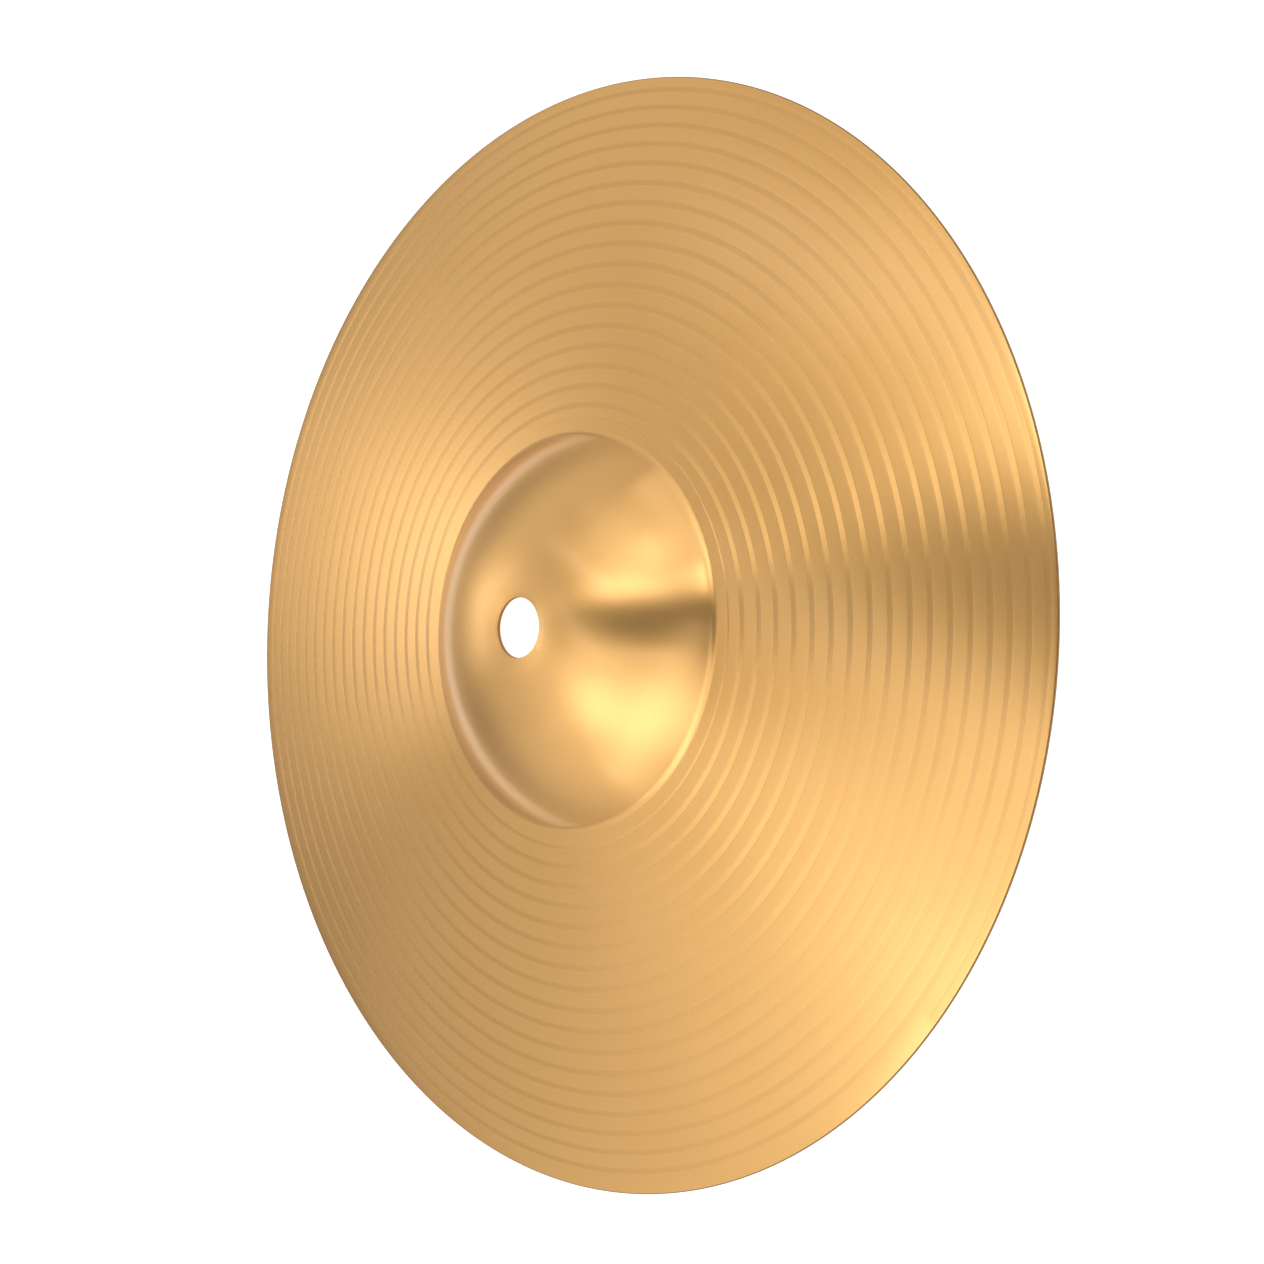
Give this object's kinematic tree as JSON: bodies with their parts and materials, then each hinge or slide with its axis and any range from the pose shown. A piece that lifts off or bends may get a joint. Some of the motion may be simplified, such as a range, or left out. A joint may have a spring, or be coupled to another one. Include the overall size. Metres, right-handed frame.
{
  "type": "crash cymbal",
  "caption": "Round spun-brass cymbal with a raised bell, a long shallow bow, a thin plain rim and a centre hole for a stand.",
  "frame": {"origin": "centre of the circle on which the rim's lowest edge lies, on the axis of the hole", "axes": "+Z along the axis of the hole, from the open hollow side towards the bell; +X and +Y are any two radii, because the cymbal is a body of revolution"},
  "size_m": [0.254, 0.254, 0.0264],
  "materials": {
    "brass": "satin, lathe-brushed in circles under clear lacquer, with a shallow tooled spiral line from the bell to the rim"
  },
  "bodies": {
    "root": {"cymbal": "brass"}
  },
  "joints": []
}
